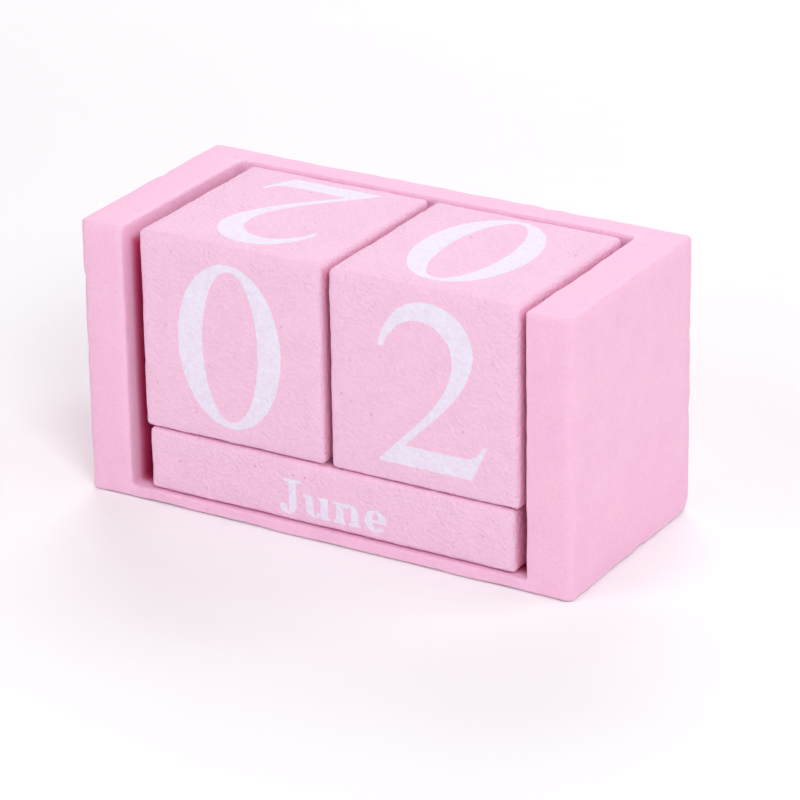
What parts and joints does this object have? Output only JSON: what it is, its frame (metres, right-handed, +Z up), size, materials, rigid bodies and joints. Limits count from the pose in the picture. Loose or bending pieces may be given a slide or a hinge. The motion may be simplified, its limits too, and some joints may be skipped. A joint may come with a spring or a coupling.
{
  "type": "flip desk calendar",
  "caption": "Wooden desk calendar: square number cubes on square month bars in an open-fronted tray; lift and turn cubes, slide out bars.",
  "frame": {"origin": "middle of the tray's underside", "axes": "+X to the viewer's right along the tray's width, +Y to the back board, +Z up; the open front faces -Y"},
  "size_m": [0.095, 0.043, 0.05],
  "materials": {
    "tray_paint": "matte pink paint over smooth sanded wood",
    "cube_paint": "matte pink paint with a fine pitted, mottled surface",
    "bar_paint": "matte pink paint with a fine pitted, mottled surface",
    "numeral_print": "matte white screen-printed ink",
    "pin_steel": "drawn steel pin"
  },
  "bodies": {
    "tray": {"base_board": "tray_paint", "back_board": "tray_paint", "left_side": "tray_paint", "right_side": "tray_paint", "left_side_pins": "pin_steel", "right_side_pins": "pin_steel"},
    "left_cube": {"left_number_cube": "cube_paint"},
    "right_cube": {"right_number_cube": "cube_paint"},
    "front_bar": {"front_month_bar": "bar_paint"},
    "middle_bar": {"middle_month_bar": "bar_paint"},
    "rear_bar": {"rear_month_bar": "bar_paint"}
  },
  "joints": [
    {"name": "left_cube_lift", "type": "slide", "parent": "tray", "child": "left_cube", "axis": [0, 0, 1], "range_m": [0, 0.045]},
    {"name": "right_cube_lift", "type": "slide", "parent": "tray", "child": "right_cube", "axis": [0, 0, 1], "range_m": [0, 0.045]},
    {"name": "front_bar_slide", "type": "slide", "parent": "tray", "child": "front_bar", "axis": [0, -1, 0], "range_m": [0, 0.06]},
    {"name": "middle_bar_slide", "type": "slide", "parent": "tray", "child": "middle_bar", "axis": [0, -1, 0], "range_m": [0, 0.048]},
    {"name": "rear_bar_slide", "type": "slide", "parent": "tray", "child": "rear_bar", "axis": [0, -1, 0], "range_m": [0, 0.039]}
  ],
  "couplings": [
    {"joint": "middle_bar_slide", "follows": "front_bar_slide", "ratio": 0.8},
    {"joint": "rear_bar_slide", "follows": "front_bar_slide", "ratio": 0.64}
  ]
}
